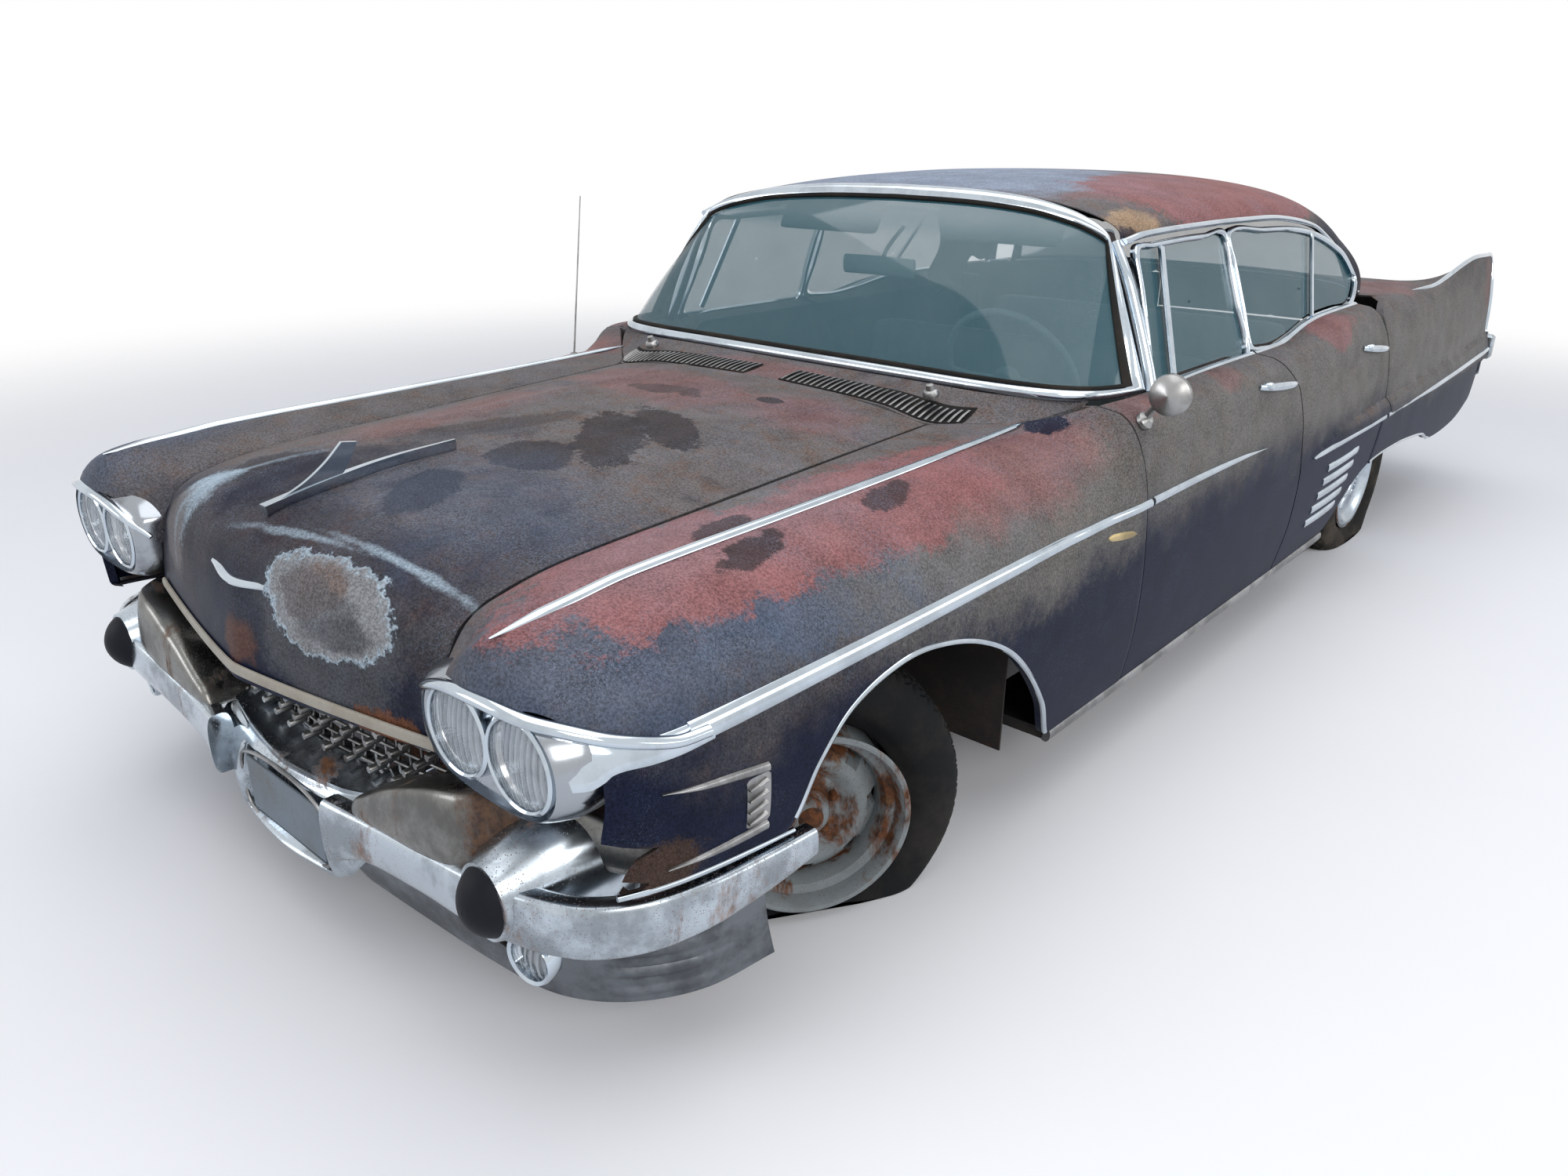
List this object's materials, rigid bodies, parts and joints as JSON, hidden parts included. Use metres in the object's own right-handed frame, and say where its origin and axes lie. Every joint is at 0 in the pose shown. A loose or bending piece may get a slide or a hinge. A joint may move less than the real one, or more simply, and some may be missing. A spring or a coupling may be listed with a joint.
{
  "type": "weathered four-door hardtop sedan",
  "caption": "Rusty full-size 1950s four-door hardtop sedan wreck on slack tyres, with opening doors, hood and trunk lid, turning wheels and steering.",
  "frame": {"origin": "on the ground below the middle of the car's box", "axes": "front towards -Y, driver's side (left) towards +X, up +Z"},
  "size_m": [2.032, 5.507, 1.4404],
  "materials": {
    "body_paint": "faded navy paint with surface rust",
    "bright_trim": "pitted chrome plate",
    "tinted_glass": "tinted, dusty",
    "slack_tyre": "dry, cracked",
    "wheel_steel": "chalky blue-grey paint with rust",
    "rusty_iron": "rusted",
    "engine_iron": "greasy",
    "seat_vinyl": "worn",
    "headliner_cloth": "torn, stained",
    "wheel_plastic": "aged"
  },
  "bodies": {
    "body": {"frame_rails": "rusty_iron", "floor_pan": "rusty_iron", "cowl": "body_paint", "front_fender_left": "body_paint", "front_fender_right": "body_paint", "inner_fenders": "rusty_iron", "radiator": "engine_iron", "quarter_left": "body_paint", "quarter_right": "body_paint", "roof": "body_paint", "windshield_frame": "bright_trim", "fixed_glass": "tinted_glass", "rear_deck": "body_paint", "tail_panel": "body_paint", "front_bumper": "bright_trim", "rear_bumper": "bright_trim", "grille": "bright_trim", "headlamp_pods": "bright_trim", "engine": "engine_iron", "exhaust": "rusty_iron", "fuel_tank": "rusty_iron", "front_suspension": "rusty_iron", "rear_axle": "rusty_iron", "front_seat": "seat_vinyl", "rear_seat": "seat_vinyl", "dashboard": "body_paint", "headliner": "headliner_cloth"},
    "hood": {"hood": "body_paint"},
    "trunk_lid": {"trunk_lid": "body_paint"},
    "front_door_left": {"front_door_left": "body_paint", "front_glass_left": "tinted_glass"},
    "front_door_right": {"front_door_right": "body_paint", "front_glass_right": "tinted_glass"},
    "rear_door_left": {"rear_door_left": "body_paint", "rear_glass_left": "tinted_glass"},
    "rear_door_right": {"rear_door_right": "body_paint", "rear_glass_right": "tinted_glass"},
    "knuckle_left": {"knuckle_left": "rusty_iron"},
    "knuckle_right": {"knuckle_right": "rusty_iron"},
    "front_wheel_left": {"front_wheel_left": "wheel_steel", "front_tyre_left": "slack_tyre"},
    "front_wheel_right": {"front_wheel_right": "wheel_steel", "front_tyre_right": "slack_tyre"},
    "rear_wheel_left": {"rear_wheel_left": "wheel_steel", "rear_tyre_left": "slack_tyre"},
    "rear_wheel_right": {"rear_wheel_right": "wheel_steel", "rear_tyre_right": "slack_tyre"},
    "steering_wheel": {"steering_wheel": "wheel_plastic"}
  },
  "joints": [
    {"name": "hood_lift", "type": "hinge", "parent": "body", "child": "hood", "pos_m": [0, -1.2955, 0.944], "axis": [-1, 0, 0], "range_deg": [0, 45]},
    {"name": "trunk_lift", "type": "hinge", "parent": "body", "child": "trunk_lid", "pos_m": [0, 1.6375, 1.015], "axis": [1, 0, 0], "range_deg": [0, 55]},
    {"name": "front_door_left_swing", "type": "hinge", "parent": "body", "child": "front_door_left", "pos_m": [1.004, -1.0075, 0.6], "axis": [0, 0, -1], "range_deg": [0, 62]},
    {"name": "rear_door_left_swing", "type": "hinge", "parent": "body", "child": "rear_door_left", "pos_m": [1.006, 0.0765, 0.6], "axis": [0, 0, -1], "range_deg": [0, 62]},
    {"name": "steer_left", "type": "hinge", "parent": "body", "child": "knuckle_left", "pos_m": [0.682, -1.9085, 0.232], "axis": [0, 0, 1], "range_deg": [0, 66]},
    {"name": "front_wheel_left_spin", "type": "hinge", "parent": "knuckle_left", "child": "front_wheel_left", "pos_m": [0.682, -1.9085, 0.232], "axis": [0.8387, -0.5446, 0], "continuous": true},
    {"name": "rear_wheel_left_spin", "type": "hinge", "parent": "body", "child": "rear_wheel_left", "pos_m": [0.774, 1.3805, 0.255], "axis": [1, 0, 0], "continuous": true},
    {"name": "front_door_right_swing", "type": "hinge", "parent": "body", "child": "front_door_right", "pos_m": [-1.004, -1.0075, 0.6], "axis": [0, 0, 1], "range_deg": [0, 62]},
    {"name": "rear_door_right_swing", "type": "hinge", "parent": "body", "child": "rear_door_right", "pos_m": [-1.006, 0.0765, 0.6], "axis": [0, 0, 1], "range_deg": [0, 62]},
    {"name": "steer_right", "type": "hinge", "parent": "body", "child": "knuckle_right", "pos_m": [-0.682, -1.9085, 0.255], "axis": [0, 0, 1], "range_deg": [0, 66]},
    {"name": "front_wheel_right_spin", "type": "hinge", "parent": "knuckle_right", "child": "front_wheel_right", "pos_m": [-0.682, -1.9085, 0.255], "axis": [0.8387, -0.5446, 0], "continuous": true},
    {"name": "rear_wheel_right_spin", "type": "hinge", "parent": "body", "child": "rear_wheel_right", "pos_m": [-0.774, 1.3805, 0.255], "axis": [1, 0, 0], "continuous": true},
    {"name": "steering_wheel_turn", "type": "hinge", "parent": "body", "child": "steering_wheel", "pos_m": [0.355, -0.5725, 0.888], "axis": [0, 0.9063, 0.4226], "range_deg": [0, 1300]}
  ],
  "couplings": [
    {"joint": "steer_right", "follows": "steer_left", "ratio": 1},
    {"joint": "steering_wheel_turn", "follows": "steer_left", "ratio": 19.5}
  ]
}
